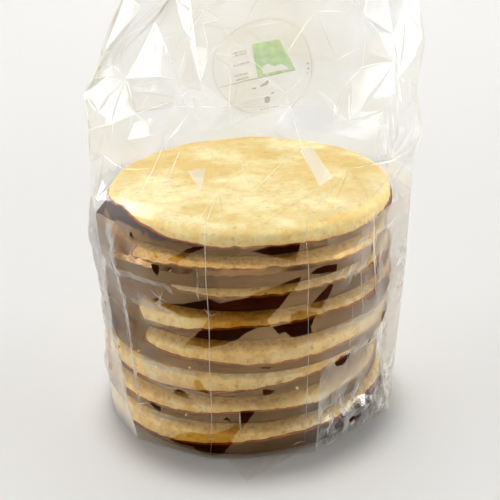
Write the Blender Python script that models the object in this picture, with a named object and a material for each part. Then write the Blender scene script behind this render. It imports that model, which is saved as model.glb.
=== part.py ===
"""A clear film bag that stands on its block bottom and holds a stack of eight round shortbreads.

Each shortbread is dipped in chocolate on its base and side. The bag and all that it holds are
one closed solid: the film lies on the rims of the stack, stands open above it and closes in a
flat, ribbed seal. Units are metres, +Z is up, and -Y is the front. The origin is on the
surface that the bag stands on, below the middle of the bag's box.

Directions round the bag are azimuths in degrees: 0 is the front (-Y) and 90 is the right (+X).
"""

import math

import bmesh
import bpy
from mathutils import Vector, noise

MM = 0.001

# The stack, from the bottom up: how far each biscuit lies to the right of the stack's axis and
# behind it, its radius and its thickness, in millimetres. Each is its dipped size.
BISCUITS = (
    (-0.5, -0.1, 42.5, 9.5),
    (-1.6, 0.1, 42.0, 7.7),
    (-1.8, 0.6, 41.2, 9.3),
    (0.4, -0.9, 42.9, 9.5),
    (1.4, 0.0, 43.0, 8.3),
    (1.3, 0.9, 42.7, 8.0),
    (-0.9, -1.3, 43.2, 7.6),
    (2.2, 0.4, 41.8, 8.4),
)
STACK_HEIGHT = sum(biscuit[3] for biscuit in BISCUITS) * MM
RIM_WAVER = 0.5 * MM
FILM_OVER_RIM = 0.4 * MM
GROOVE = 1.9 * MM  # how far the film sinks in between two biscuits
CREASE_SINK = 0.35  # the share of that at an upright crease
# Height up one biscuit as a share of its thickness, and the share of GROOVE that the film sinks there.
RIM_PROFILE = ((0.0, 1.0), (0.13, 0.35), (0.34, 0.0), (0.62, 0.08), (0.86, 0.55))

# The bag's eight upright creases: name, azimuth and radius at the base, and the same at the shoulder.
CREASES = (
    ("corner_front", -14.5, 44.0, -15.5, 43.8),
    ("fold_front", 24.5, 44.8, 30.0, 44.2),
    ("corner_right", 64.0, 46.4, 80.0, 49.2),
    ("tuck_right", 106.0, 48.4, 118.0, 48.6),
    ("corner_back", 158.0, 47.0, 166.0, 46.4),
    ("fold_back", 205.0, 45.0, 210.0, 45.2),
    ("corner_left", 252.0, 46.4, 256.0, 45.4),
    ("tuck_left", 314.0, 44.8, 298.0, 45.2),
)
STEPS = 8  # faces between two creases

# The open film above the stack.
SHOULDER_Z = STACK_HEIGHT + 0.6 * MM
BELLY_Z = 79.0 * MM
BELLY_CENTRE = Vector((4.5, 0.5, 0.0)) * MM
BELLY_HALF_WIDTH = 46.6 * MM
BELLY_HALF_DEPTH = 43.5 * MM
CLOSING_Z = 94.0 * MM  # the film starts to fold flat here
SEAL_Z = 156.0 * MM
OPEN_RINGS = 21
CRUMPLE = 1.7 * MM
CRUMPLE_SIZE = 21.0 * MM

# The flat seal, whose face is turned to the azimuth of the front fold.
SEAL_CENTRE = Vector((18.9, 4.0, 0.0)) * MM
SEAL_TURN = math.radians(27.0)
SEAL_HALF_WIDTH = 36.5 * MM
SEAL_HALF_THICKNESS = 1.2 * MM
SEAL_HEIGHT = 9.0 * MM
SEAL_RIBS = 4
RIB_DEPTH = 0.35 * MM
TUCK_DEPTH = 29.0 * MM

FILM_COLOUR = (0.62, 0.50, 0.36, 1.0)
FILM_ROUGHNESS = 0.18


def clear_scene():
    for obj in list(bpy.data.objects):
        bpy.data.objects.remove(obj, do_unlink=True)


def smooth(low, high, value):
    """0 up to low, 1 from high on, and an even curve between."""
    share = min(1.0, max(0.0, (value - low) / (high - low)))
    return share * share * (3.0 - 2.0 * share)


def heading(azimuth):
    """The unit vector that points to an azimuth in radians."""
    return Vector((math.sin(azimuth), -math.cos(azimuth), 0.0))


def creases_at(z):
    """(azimuth in radians, radius in metres) of each crease at a height on the stack."""
    share = min(1.0, max(0.0, z / SHOULDER_Z))
    found = []
    for _, low_azimuth, low_radius, high_azimuth, high_radius in CREASES:
        azimuth = math.radians(low_azimuth + (high_azimuth - low_azimuth) * share)
        radius = (low_radius + (high_radius - low_radius) * share) * MM
        found.append((azimuth, radius))
    return found


def azimuths_at(z):
    """The azimuth of each point of a ring, with a point on each crease."""
    marks = [azimuth for azimuth, _ in creases_at(z)]
    marks.append(marks[0] + math.tau)
    return [
        marks[k] + (marks[k + 1] - marks[k]) * step / STEPS
        for k in range(len(CREASES))
        for step in range(STEPS)
    ]


def stack_radius(azimuth, level, sink):
    """The radius of one biscuit's rim under the film, about the stack's axis."""
    across, along, radius, _ = BISCUITS[level]
    way = heading(azimuth)
    waver = noise.noise(Vector((way.x * 2.1, way.y * 2.1, level * 1.9))) * RIM_WAVER
    return (radius + across * way.x + along * way.y) * MM + waver - sink


def wrapped_radius(azimuth, core, creases, sink):
    """Film drawn tight from the core's side to the creases that stand off it."""
    radius = core
    for crease_azimuth, free_radius in creases:
        crease_radius = free_radius - CREASE_SINK * sink
        if crease_radius <= core:
            continue
        spread = math.acos(core / crease_radius)
        gap = abs(math.remainder(azimuth - crease_azimuth, math.tau))
        if gap < spread:
            radius = max(radius, core / math.cos(spread - gap))
    return radius


def stack_ring(z, level, sink_share):
    """One ring of film on the side of the stack."""
    creases = creases_at(z)
    ring = []
    sink = sink_share * GROOVE
    for azimuth in azimuths_at(z):
        core = stack_radius(azimuth, level, sink) + FILM_OVER_RIM
        radius = wrapped_radius(azimuth, core, creases, sink)
        ring.append(heading(azimuth) * radius + Vector((0.0, 0.0, z)))
    return ring


def belly_ring(z):
    """The round, open section of the film above the stack."""
    ring = []
    for azimuth in azimuths_at(z):
        way = heading(azimuth)
        point = Vector((way.x * BELLY_HALF_WIDTH, way.y * BELLY_HALF_DEPTH, z))
        ring.append(point + BELLY_CENTRE)
    return ring


def seal_ring(z, half_thickness, tuck):
    """The flat section: two faces, with a side fold tucked in between them at each end."""
    along = Vector((math.cos(SEAL_TURN), math.sin(SEAL_TURN), 0.0))
    out = heading(SEAL_TURN) * half_thickness
    centre = SEAL_CENTRE + Vector((0.0, 0.0, z))
    end = along * SEAL_HALF_WIDTH
    inner = along * (SEAL_HALF_WIDTH - tuck)
    marks = [
        centre - end + out,
        centre + out,
        centre + end + out,
        centre + inner,
        centre + end - out,
        centre - out,
        centre - end - out,
        centre - inner,
    ]
    marks.append(marks[0])
    return [
        marks[k].lerp(marks[k + 1], step / STEPS)
        for k in range(len(CREASES))
        for step in range(STEPS)
    ]


def crumpled(point, amount):
    """The point moved in or out by the dents and ridges of stiff film."""
    place = point / CRUMPLE_SIZE
    broad = abs(noise.noise(place)) - 0.22
    fine = abs(noise.noise(place * 2.3 + Vector((5.0, 1.0, 8.0)))) - 0.22
    out = Vector((point.x - BELLY_CENTRE.x, point.y - BELLY_CENTRE.y, 0.0)).normalized()
    return point + out * (broad * 2.6 + fine * 1.2) * amount


def open_ring(z):
    """One ring of the film between the stack's shoulder and the seal."""
    spread = smooth(SHOULDER_Z, BELLY_Z, z)
    closed = smooth(CLOSING_Z, SEAL_Z, z)
    tuck = TUCK_DEPTH * (1.0 - smooth(0.80, 1.0, closed))
    stack = stack_ring(z, len(BISCUITS) - 1, 0.6)
    belly = belly_ring(z)
    flat = seal_ring(z, SEAL_HALF_THICKNESS, tuck)
    amount = CRUMPLE * spread * (1.0 - closed) ** 0.7
    ring = []
    for on_stack, on_belly, on_flat in zip(stack, belly, flat):
        point = on_stack.lerp(on_belly, spread).lerp(on_flat, closed)
        ring.append(crumpled(point, amount))
    return ring


def bag_rings():
    """Every ring of the bag, from the face it stands on to the top of its seal."""
    rings = []
    base = 0.0
    for level, (_, _, _, thickness) in enumerate(BISCUITS):
        for share, sink in RIM_PROFILE:
            z = base + share * thickness * MM
            rings.append(stack_ring(z, level, sink))
        base += thickness * MM
    for step in range(OPEN_RINGS):
        z = SHOULDER_Z + (SEAL_Z - SHOULDER_Z) * step / OPEN_RINGS
        rings.append(open_ring(z))
    half_ribs = 2 * SEAL_RIBS
    for step in range(half_ribs + 1):
        z = SEAL_Z + SEAL_HEIGHT * step / half_ribs
        rib = RIB_DEPTH if step % 2 else 0.0
        rings.append(seal_ring(z, SEAL_HALF_THICKNESS - rib, 0.0))
    return rings


def bag_mesh(rings):
    """A closed mesh through the rings, with a flat cap at each end."""
    shape = bmesh.new()
    loops = [[shape.verts.new(point) for point in ring] for ring in rings]
    count = len(loops[0])
    for low, high in zip(loops, loops[1:]):
        for i in range(count):
            j = (i + 1) % count
            shape.faces.new((low[i], low[j], high[j], high[i]))
    shape.faces.new(tuple(reversed(loops[0])))
    shape.faces.new(tuple(loops[-1]))
    bmesh.ops.recalc_face_normals(shape, faces=shape.faces)
    mesh = bpy.data.meshes.new("bag")
    shape.to_mesh(mesh)
    shape.free()
    return mesh


def centred(rings):
    """The rings moved sideways, so that the origin is below the middle of their box."""
    points = [point for ring in rings for point in ring]
    middle = Vector(
        (
            (min(p.x for p in points) + max(p.x for p in points)) / 2,
            (min(p.y for p in points) + max(p.y for p in points)) / 2,
            0.0,
        )
    )
    return [[point - middle for point in ring] for ring in rings]


def film_material():
    material = bpy.data.materials.new("film_over_biscuits")
    material.use_nodes = True
    shader = material.node_tree.nodes["Principled BSDF"]
    shader.inputs["Base Color"].default_value = FILM_COLOUR
    shader.inputs["Roughness"].default_value = FILM_ROUGHNESS
    shader.inputs["Metallic"].default_value = 0.0
    return material


def make_bag():
    mesh = bag_mesh(centred(bag_rings()))
    mesh.materials.append(film_material())
    mesh.shade_smooth()
    mesh.set_sharp_from_angle(angle=math.radians(28.0))
    bag = bpy.data.objects.new("bag", mesh)
    bpy.context.scene.collection.objects.link(bag)
    return bag


clear_scene()
make_bag()
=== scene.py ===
"""Looks of a clear bag of eight chocolate-dipped shortbreads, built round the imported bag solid.

Lengths are in millimetres until MM turns them into metres. Directions round the bag are azimuths
in degrees: 0 is the front (-Y) and 90 is the right (+X). Places in the bag are given from the
stack's own axis, which stands at STACK_AXIS in the frame.
"""

import math

import bmesh
import bpy
import numpy as np
from mathutils import Matrix, Vector, noise
from mathutils.bvhtree import BVHTree
from mathutils.geometry import delaunay_2d_cdt


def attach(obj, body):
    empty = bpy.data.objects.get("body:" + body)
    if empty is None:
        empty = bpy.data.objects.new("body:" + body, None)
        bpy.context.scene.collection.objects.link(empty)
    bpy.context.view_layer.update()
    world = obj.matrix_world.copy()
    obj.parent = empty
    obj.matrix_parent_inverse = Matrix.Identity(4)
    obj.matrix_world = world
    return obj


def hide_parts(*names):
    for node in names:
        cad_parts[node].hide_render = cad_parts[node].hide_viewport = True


MM = 0.001
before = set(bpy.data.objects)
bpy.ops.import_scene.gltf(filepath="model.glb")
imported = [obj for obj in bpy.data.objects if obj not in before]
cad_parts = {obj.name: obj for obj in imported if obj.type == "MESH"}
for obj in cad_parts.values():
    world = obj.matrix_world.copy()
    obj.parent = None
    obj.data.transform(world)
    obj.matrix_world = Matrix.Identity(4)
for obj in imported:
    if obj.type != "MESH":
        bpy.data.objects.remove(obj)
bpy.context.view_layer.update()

STACK_AXIS = Vector((-4.29, -0.07, 0.0))

# --- The stack, as in the solid: right, behind, radius, thickness, from the bottom up. ---
BISCUITS = (
    (-0.5, -0.1, 42.5, 9.5),
    (-1.6, 0.1, 42.0, 7.7),
    (-1.8, 0.6, 41.2, 9.3),
    (0.4, -0.9, 42.9, 9.5),
    (1.4, 0.0, 43.0, 8.3),
    (1.3, 0.9, 42.7, 8.0),
    (-0.9, -1.3, 43.2, 7.6),
    (2.2, 0.4, 41.8, 8.4),
)
# How each is dipped: its coat's height at these azimuths, and from 100 degrees on.
DIP_AZIMUTHS = (-60.0, -45.0, -30.0, -15.0, 0.0, 15.0, 30.0, 45.0, 60.0)
DIPS = (
    (1.9, 1.9, 2.6, 3.7, 4.8, 5.4, 6.0, 6.5, 7.2),
    (3.6, 3.2, 3.2, 3.4, 4.6, 4.5, 3.3, 4.6, 4.5),
    (1.9, 1.9, 2.1, 2.0, 2.6, 3.4, 4.5, 5.8, 5.2),
    (6.5, 6.4, 4.6, 4.2, 3.1, 3.4, 3.7, 3.9, 3.7),
    (2.0, 2.0, 2.3, 3.9, 4.9, 5.3, 5.6, 5.3, 6.3),
    (6.1, 6.0, 5.8, 4.7, 4.9, 4.9, 5.1, 5.1, 5.3),
    (5.3, 5.6, 5.9, 5.9, 5.7, 5.6, 4.6, 3.6, 3.0),
    (7.6, 6.0, 3.8, 3.2, 3.2, 3.1, 2.5, 2.5, 3.0),
)
DIP_BEHIND = 4.2
# The biscuits whose whole left side is coated, and the azimuths between which it is so.
LEFT_COATED = {3: (-40.0, -108.0), 4: (-43.0, -131.0), 5: (-29.0, -119.0), 6: (-43.0, -142.0)}
RISE = 8.0  # how far the coat climbs there
RISE_WIDTH = 7.0  # degrees over which the coat climbs in front
FALL_WIDTH = 22.0  # and over which it comes down again
STACK_FOOT = 0.3  # how high the lowest biscuit stands over the table
STACK_HEIGHT = sum(biscuit[3] for biscuit in BISCUITS)
RIM_WAVER = 0.5
RIM_BAND = (0.15, 0.64)  # the shares of its thickness between which a biscuit carries the film
COAT = 0.8
COAT_POINTS = 480  # round a coat
COAT_OVERLAP = 0.25  # how far the coat's inner side lies in the biscuit
COAT_WAVERS = ((11.0, 2.0, 0.22), (34.0, 3.0, 0.13))  # of its edge: how often, seed, how far
COAT_FOOT = 0.02  # between a coat's underside and what it stands on
LIP_SHARE = 0.42  # of the coat's thickness, left at its edge
BOTTOM_ROUND = 1.5
ROUND_FIRST, ROUND_LAST = 4, 9  # of side_profile's points, those of the rounded lower edge
TOP_CLEARANCE = 0.15  # from a biscuit's top to the next one's coat
SHOULDER = (3.3, 6.0)  # how far down and in a biscuit's rounded upper edge goes
TOP_SHOULDER = (3.2, 4.0)  # the same of the uppermost
SHADE_REACH = 3.4  # how far down a lower biscuit's upper edge is painted dark brown, as painted shade
RIM_BAKE = 3.0  # how far in the uppermost is baked golden
CRACK = Vector((-4.5, -17.0, 0.0))  # the middle of the short crack in the uppermost

# --- The bag's upright creases, as in the solid: azimuth and radius at the base and the shoulder. ---
CREASES = (
    (-14.5, 44.0, -15.5, 43.8),
    (24.5, 44.8, 30.0, 44.2),
    (64.0, 46.4, 80.0, 49.2),
    (106.0, 48.4, 118.0, 48.6),
    (158.0, 47.0, 166.0, 46.4),
    (205.0, 45.0, 210.0, 45.2),
    (252.0, 46.4, 256.0, 45.4),
    (314.0, 44.8, 298.0, 45.2),
)
SEAM = 4  # the crease at the back where the flat pattern of the film starts and ends
ARC = 35.0  # the pattern's width between two creases
FILM_OVER_RIM = 0.35
FILM_SAG = 0.3
FILM_LEAN = 0.14  # how far film moves in for each millimetre up or down from a wide rim
LEAN_REACH = 26.0
FOOT_TUCK = 0.5  # how far film turns in at the foot
SHOULDER_Z = STACK_HEIGHT + 0.6
BELLY_Z = 79.0
BELLY_CENTRE = Vector((4.5, 0.5, 0.0))
BELLY_HALF_WIDTH = 46.6
BELLY_HALF_DEPTH = 43.5
CLOSING_Z = 94.0
SEAL_Z = 156.0
SEAL_HEIGHT = 9.0
SEAL_CENTRE = Vector((18.9, 4.0, 0.0))
SEAL_TURN = math.radians(27.0)
SEAL_HALF_WIDTH = 36.5
SEAL_HALF_THICKNESS = 0.6
SEAL_RIBS = 4
RIB_DEPTH = 0.3
TUCK_DEPTH = 27.0
TOP_Z = SEAL_Z + SEAL_HEIGHT

# --- The dough: its lightness, share of golden patches, speckles and depth of relief. ---
TOP_DOUGH = (0.85, 0.30, 0.40, 0.45)
SIDE_DOUGH = (1.0, 0.60, 0.75, 0.85)

# --- The film. ---
# The brownish tint of the painted-shade patches, which darkens what shows through them.
PAINTED_SHADE_TINT = (0.84, 0.68, 0.38, 1.0)
CREAM_TINT = (0.972, 0.962, 0.925, 1.0)
FILM_GLOSS = (1.0, 0.99, 0.96, 1.0)
# Painted warm tint in the mirroring of the film on the stack, which lays an orange-brown sheen over
# the biscuits.
PAINTED_WARM_GLOSS = (1.0, 0.62, 0.28, 1.0)
# The gloss colour of the painted-highlight film.
PAINTED_HIGHLIGHT_GLOSS = (1.0, 0.95, 0.88, 1.0)
FILM_HAZE = (0.97, 0.96, 0.93, 1.0)
SLANT_POWER = 3.0
FILM_LOOKS = {
    "tint": (0.985, 0.985, 0.978, 1.0),
    "gloss_colour": FILM_GLOSS,
    "roughness": 0.09,
    "slanted": 0.80,
    "edge_haze": 0.0,
}
SHADOW_SHARE = 0.06  # the share of its mirroring and haze with which film shades what is behind it
FINE_STEP = 1.8  # between the film's points
FACET_STEP = 13.0  # between the corners of its facets
FACET_FLATNESS = 0.40  # 0 leaves the open film rounded over its dents, and 1 makes each facet flat
DENT_SPREAD = 0.62
DENT_LIMIT = 1.3
DENT_ON_STACK = 0.25
CREASE_GAP = 2.5  # free of facets' corners, beside an upright crease
LOOSE_GAPS = (0.7, 2.6)  # film this far off the stack starts to count as loose, and is wholly so
COAT_GLOW = 1.6  # how far above the uppermost coat the film still looks as it does on the stack
ON_STACK_TOP = SHOULDER_Z - 2.2  # and the height where those looks end in any case
# Slot 1 holds painted shade, slot 2 painted highlights, and slot 3 the film on the stack, whose
# mirroring has a painted warm tint.
PAINTED_SHADE_SLOT, PAINTED_HIGHLIGHT_SLOT, ON_STACK_SLOT = 1, 2, 3  # of the film's materials; 0 is clear
FOLD_ANGLE = 17.0  # degrees from which a facet's edge may show as a whitish line
FOLD_CHANCE = 0.22
HEAD_LINE = 0.10  # half the width of a head crease's line
LINE_STEP = 1.3
BASE_RADIUS = 42.0
BASE_RINGS = ((0.86, 60), (0.66, 40), (0.42, 24), (0.2, 10), (0.0, 1))  # share of it, points
SEED = 7

# Painted shade: places where the film mirrors almost nothing and tints what lies behind it darker and
# browner: (azimuth, height) outlines.
PAINTED_SHADE_PATCHES = (
    ((-29.8, 47.2), (-28.2, 47.4), (-21.5, 48.1), (-17.1, 49.1), (-13.5, 49.8), (-12.0, 50.3),
     (-8.3, 49.2), (-3.5, 50.1), (0.7, 50.7), (5.5, 52.4), (9.1, 53.1), (14.5, 54.4), (19.6, 55.2),
     (18.4, 52.6), (15.1, 50.1), (12.5, 47.4), (10.0, 45.3), (7.8, 43.2), (8.8, 41.5),
     (4.0, 41.3), (0.2, 39.9), (-3.2, 38.0), (-7.8, 36.5), (-14.0, 35.2), (-17.1, 35.7),
     (-22.0, 35.2), (-21.1, 36.3), (-15.6, 40.4), (-12.1, 44.8), (-16.9, 43.9), (-20.5, 43.8),
     (-23.0, 44.2), (-26.8, 45.7), (-29.9, 46.4)),
    ((-34.1, 46.9), (-33.1, 47.8), (-30.0, 48.7), (-30.3, 47.7), (-32.5, 46.8)),
    ((-24.7, 61.1), (-20.2, 62.9), (-18.7, 63.9), (-16.6, 64.5), (-13.1, 65.0), (-12.4, 64.8),
     (-14.0, 64.1), (-17.3, 62.9), (-18.5, 62.0), (-20.1, 61.1), (-22.3, 59.9), (-25.4, 60.3)),
    ((-31.7, 62.3), (-30.2, 61.8), (-29.2, 60.7), (-30.1, 59.8)),
    ((-32.1, 58.4), (-28.9, 58.5), (-28.7, 57.2), (-29.5, 55.4), (-30.9, 56.4), (-31.7, 57.5)),
    ((-25.7, 58.4), (-24.2, 58.3), (-25.1, 57.1)),
    ((-41.8, 65.6), (-40.6, 65.4), (-39.5, 63.5), (-40.2, 63.1), (-41.8, 64.2)),
    ((3.0, 63.6), (8.0, 64.3), (13.0, 64.6), (20.0, 64.3), (19.2, 62.3), (18.6, 61.5),
     (18.0, 59.6), (14.2, 60.3), (10.4, 61.6), (6.0, 62.9)),
    ((23.0, 55.4), (25.4, 56.4), (28.6, 56.7), (33.8, 56.1), (33.4, 54.0), (29.5, 54.5),
     (25.0, 54.8)),
    ((22.9, 45.2), (23.3, 45.9), (27.8, 49.2), (31.2, 50.9), (32.7, 50.0), (31.2, 47.9),
     (29.0, 46.0), (27.6, 44.4)),
    ((16.1, 43.7), (19.1, 45.1), (26.1, 43.5), (24.9, 42.2), (23.3, 39.8), (23.7, 37.9),
     (18.2, 37.3), (16.3, 37.6), (13.8, 39.5), (11.6, 39.1), (9.5, 41.3), (15.8, 41.9)),
    ((-19.1, 24.8), (-17.0, 25.1), (-13.3, 21.3), (-18.1, 21.9), (-19.6, 23.4)),
    ((-29.1, 19.0), (-26.3, 20.6), (-23.3, 20.1), (-21.5, 18.0), (-24.7, 17.8), (-27.8, 18.1)),
    ((5.5, 22.7), (10.1, 22.0), (8.3, 20.8), (6.0, 20.2), (5.5, 21.4)),
    ((4.4, 29.9), (9.3, 29.8), (7.5, 29.2), (4.7, 29.6)),
    ((-40.3, 14.1), (-38.1, 14.4), (-34.0, 13.3), (-34.7, 11.7), (-37.2, 12.5)),
    ((-9.3, 12.9), (-7.8, 13.6), (-6.1, 11.8), (-7.5, 12.3)),
    ((-3.3, 15.3), (2.8, 15.2), (-1.0, 11.2), (-2.7, 9.9), (-4.1, 10.9), (-2.6, 11.9),
     (-3.1, 13.2)),
    ((-31.4, 3.0), (-27.1, 6.0), (-21.2, 7.6), (-12.9, 8.3), (-7.6, 9.5), (-4.6, 11.1),
     (-3.2, 9.6), (-5.5, 7.5), (-6.4, 5.2), (-8.3, 3.4), (-9.9, 1.8), (-13.8, 1.3),
     (-17.7, 1.3), (-21.6, 2.8), (-26.6, 2.7)),
    ((33.7, 25.7), (36.4, 27.2), (42.0, 26.6), (41.0, 24.9), (37.9, 23.9), (35.0, 24.4)),
)
# Painted highlights on folds of loose film beside the stack: (azimuth, height) outlines.
PAINTED_STACK_HIGHLIGHTS = (
    ((-52.3, 55.0), (-51.6, 54.1), (-51.3, 50.3), (-52.0, 50.8)),
    ((-47.6, 38.0), (-46.6, 39.0), (-45.9, 24.0), (-46.7, 23.0)),
    ((-57.4, 35.6), (-56.6, 36.2), (-57.0, 26.6), (-58.4, 18.0), (-59.0, 17.4), (-58.0, 25.5)),
    ((-55.4, 12.3), (-54.4, 12.5), (-54.6, 7.9), (-55.6, 9.3)),
    ((-55.6, 65.3), (-53.4, 65.0), (-52.4, 61.9), (-52.9, 59.5), (-54.1, 59.9), (-55.7, 62.1)),
    ((-65.0, 50.0), (-63.9, 51.0), (-63.6, 36.0), (-64.6, 30.0)),
    ((53.0, 66.0), (54.0, 66.0), (54.8, 44.0), (54.0, 42.0)),
    ((59.0, 30.0), (60.0, 31.0), (60.8, 14.0), (60.0, 13.0)),
    ((36.8, 9.6), (38.5, 7.1), (40.6, 7.6), (38.6, 9.6)),
)

# Creases of the open film: how far each stands out or in, and its way up the bag as (place, height).
# A place counts the upright creases: 0 is the first of CREASES, 0.5 is halfway to the next.
HEAD_CREASES = (
    (1.8, ((6.95, 126.0), (7.39, 117.1), (7.63, 114.3), (7.73, 111.7), (7.83, 106.0), (7.90, 99.0))),
    (-1.3, ((6.58, 100.6), (7.21, 104.7), (7.60, 106.8), (7.79, 106.5))),
    (1.4, ((6.30, 87.0), (6.89, 89.0), (7.26, 93.7), (7.51, 97.6), (7.79, 101.6))),
    (1.6, ((1.02, 131.0), (1.11, 121.0), (1.20, 116.9), (1.29, 112.7), (1.42, 106.0))),
    (-1.5, ((0.06, 119.0), (0.08, 112.9), (0.19, 110.2), (0.20, 106.8), (0.17, 101.8), (0.18, 96.0))),
    (1.2, ((7.71, 91.0), (7.62, 84.0), (7.49, 76.8))),
    (1.2, ((7.82, 89.4), (7.76, 84.0), (7.69, 78.7))),
    (-1.2, ((0.18, 91.0), (0.24, 85.0), (0.30, 79.0))),
    (1.0, ((0.55, 103.0), (0.62, 91.0), (0.76, 79.0))),
    (-1.4, ((1.50, 112.0), (1.53, 102.0), (1.58, 92.0), (1.62, 80.0))),
    (2.2, ((6.20, 71.0), (6.22, 79.0), (6.20, 87.0))),
    (1.3, ((7.55, 123.0), (0.08, 121.1), (0.17, 118.9), (0.24, 115.0))),
    (1.5, ((5.50, 81.0), (5.00, 79.0), (4.50, 77.0), (4.05, 77.0), (3.60, 79.0))),
    (-1.5, ((3.30, 126.0), (3.34, 116.0), (3.24, 104.0), (3.30, 92.0))),
    (1.4, ((5.30, 118.0), (5.24, 108.0), (5.34, 97.0), (5.52, 88.0))),
)
# Painted highlights on facets of the open film: outlines of (place, height).
PAINTED_HEAD_HIGHLIGHTS = (
    ((7.92, 113.8), (8.07, 113.8), (8.02, 108.7), (7.99, 103.9), (7.85, 105.0)),
    ((7.93, 102.4), (7.99, 101.5), (7.95, 96.4)),
    ((7.87, 84.3), (7.99, 85.2), (7.95, 78.9)),
    ((0.62, 89.5), (0.70, 90.0), (0.86, 81.0), (0.76, 79.5)),
    ((1.47, 103.0), (1.53, 102.0), (1.58, 94.5), (1.50, 96.0)),
    ((1.71, 99.6), (1.79, 99.0), (1.74, 95.0)),
)

# Fine whitish creases of the film on the stack, whitened and partly painted highlight: half width and
# way as (azimuth, height).
STACK_FOLDS = (
    (0.11, ((-14.7, 0.3), (-13.5, 6.4), (-13.1, 19.3), (-12.7, 34.9), (-12.3, 49.7), (-12.2, 65.3),
            (-12.6, 74.0), (-14.0, 92.0))),
    (0.09, ((20.0, 1.1), (21.1, 7.5), (21.7, 17.1), (22.1, 32.7), (22.4, 50.6), (22.1, 64.8),
            (23.0, 72.0), (25.0, 82.0))),
    (0.10, ((-34.0, 50.7), (-29.6, 48.7), (-25.5, 47.8))),
    (0.09, ((-32.0, 46.5), (-29.6, 48.7), (-28.2, 51.3))),
    (0.08, ((-30.6, 45.0), (-29.6, 48.7), (-30.6, 51.2))),
    (0.16, ((-13.9, 47.4), (-11.6, 45.1), (-9.6, 46.0))),
    (0.11, ((-41.0, 0.25), (-28.0, 0.2), (-14.7, 0.2), (2.0, 0.2), (20.0, 0.25), (34.0, 0.3))),
    (0.18, ((-3.1, 9.2), (-3.2, 12.0), (-3.1, 15.4))),
    (0.16, ((-15.5, 6.4), (-13.7, 6.7), (-11.8, 7.6))),
    (0.09, ((-57.5, 23.0), (-57.0, 40.0), (-58.5, 59.0))),
    (0.10, ((-64.0, 28.0), (-63.2, 42.0), (-63.5, 56.0))),
    (0.09, ((-71.0, 20.0), (-70.0, 40.0), (-70.4, 62.0))),
    (0.10, ((-78.0, 28.0), (-78.8, 50.0))),
    (0.09, ((-85.5, 22.0), (-85.0, 42.0), (-86.0, 61.0))),
    (0.12, ((40.0, 18.0), (41.2, 42.0))),
    (0.12, ((47.0, 28.0), (46.2, 45.0), (47.0, 63.0))),
    (0.16, ((16.3, 3.0), (18.1, 3.8), (20.3, 4.0))),
    (0.09, ((45.0, 10.5), (49.4, 9.9), (56.1, 5.6))),
    (0.09, ((37.7, 9.4), (42.1, 9.8), (48.2, 8.0), (56.8, 3.2))),
    (0.09, ((32.8, 9.4), (34.5, 10.2), (35.9, 8.7), (37.7, 10.1), (39.7, 6.4), (41.6, 8.6),
            (44.9, 5.3), (47.7, 7.6), (49.6, 4.4), (52.2, 4.9))),
    (0.09, ((37.8, 6.4), (40.1, 7.9), (42.8, 4.5), (44.8, 6.7))),
    (0.09, ((33.7, 10.1), (36.8, 7.1), (39.2, 3.8))),
    (0.09, ((20.3, 4.0), (24.8, 2.2), (30.3, 2.9), (36.0, 3.7), (41.2, 3.8))),
    (0.09, ((47.2, 33.6), (51.1, 27.5), (53.5, 21.1), (53.1, 15.3))),
    (0.09, ((55.9, 16.8), (58.0, 9.8), (61.5, 1.4))),
    (0.09, ((49.9, 25.7), (47.7, 21.4), (51.8, 14.6), (46.9, 11.9))),
    (0.12, ((-49.0, 8.0), (-44.0, 12.5), (-38.0, 14.0))),
    (0.12, ((34.0, 12.0), (40.0, 17.0), (47.0, 18.5))),
)
# The flap of film on the table in front: the ends of its root, and its tip.
FLAP_ROOTS = (Vector((-6.1, -43.4, 0.0)), Vector((14.2, -40.6, 0.0)))
FLAP_TIP = Vector((-0.9, -53.6, 0.0))
FLAP_GRID = (28, 12)
FLAP_LIFT = 0.12
FLAP_PLEAT = 0.28
# Crumbs on the film: azimuth, height and size.
CRUMBS = (
    (-56.8, 31.7, 0.5), (-53.0, 28.1, 0.4), (-58.1, 29.6, 0.35), (-42.8, 29.5, 0.45),
    (-35.2, 26.0, 0.4), (18.2, 21.3, 0.45), (-48.0, 36.5, 0.3), (-20.5, 28.8, 0.3),
    (6.0, 31.4, 0.3), (-61.0, 41.0, 0.35), (31.0, 33.0, 0.3), (-24.0, 12.5, 0.35),
)

# --- The round sticker on the back film, whose print is seen through the bag. ---
STICKER_PLACE = (4.23, 90.3)
STICKER_RADIUS = 15.6
STICKER_TURN = math.radians(12.5)
STICKER_STEP = 1.4  # between the points of its shapes
STICKER_LIFT = 0.15  # off the film
PRINT_LIFT = 0.22
RING_WIDTH = 0.24
FIELD_OUTLINE = ((-3.3, 7.2), (4.9, 8.8), (10.7, -1.3), (-1.3, -3.6))
FIELD_GAP = ((-0.2, -0.9), (1.8, 0.7), (4.0, -0.1), (6.0, 0.6), (7.6, 0.2), (8.6, -0.9), (5.0, -1.6),
             (0.4, -2.6))
STICKER_BARS = (
    ((-1.6, -3.75), 24.6, 0.22),
    ((-7.0, 4.4), 4.6, 1.5),
    ((-6.4, 0.9), 5.4, 0.7),
    ((-6.6, -2.6), 4.6, 0.5),
    ((-6.2, -4.0), 4.2, 0.5),
)
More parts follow.
